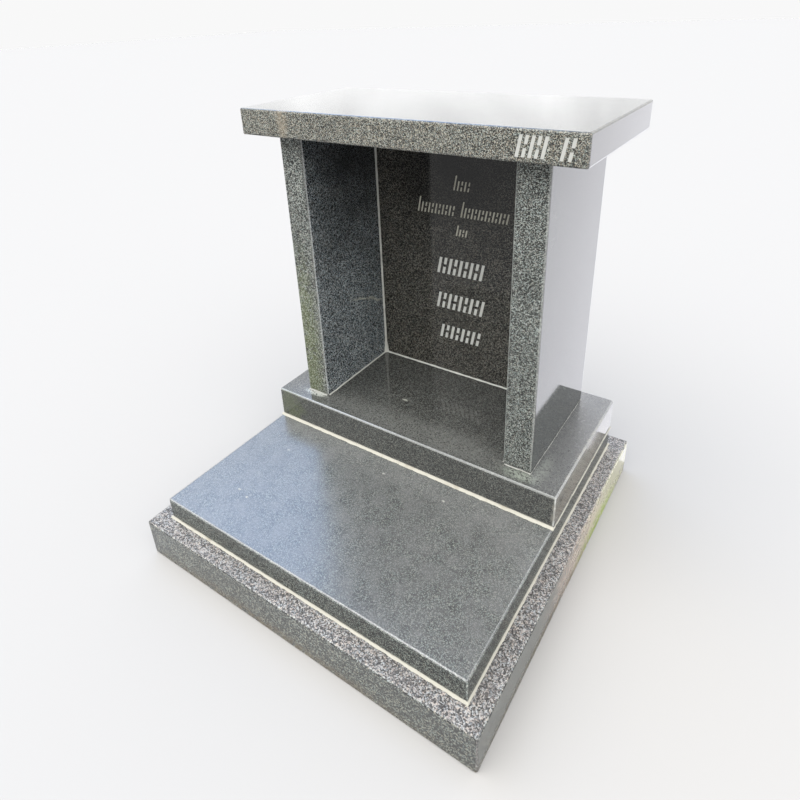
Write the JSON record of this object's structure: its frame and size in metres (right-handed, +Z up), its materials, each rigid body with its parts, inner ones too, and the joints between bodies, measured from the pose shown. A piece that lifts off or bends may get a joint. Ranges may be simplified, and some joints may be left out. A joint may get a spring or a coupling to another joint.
{
  "type": "headstone",
  "caption": "Small granite memorial: pillars and a flat cap round an inscribed panel, on a base, a ledger and a sub-base.",
  "frame": {"origin": "centre of the underside of the sub-base", "axes": "+Z up, +X to the right of someone who faces the inscription, +Y towards the back"},
  "size_m": [0.674, 0.674, 0.7601],
  "materials": {
    "polished_granite": "polished",
    "black_granite": "polished",
    "sub_base_granite": "satin",
    "mortar": "matte",
    "sealant": "satin",
    "inscription_paint": "matte"
  },
  "bodies": {
    "root": {"sub_base": "sub_base_granite", "ledger_mortar": "mortar", "ledger": "polished_granite", "base_mortar": "mortar", "base": "polished_granite", "left_pillar": "polished_granite", "right_pillar": "polished_granite", "left_pillar_sealant": "sealant", "right_pillar_sealant": "sealant", "inscription_panel": "black_granite", "niche_sealant": "sealant", "cap": "polished_granite"}
  },
  "joints": []
}
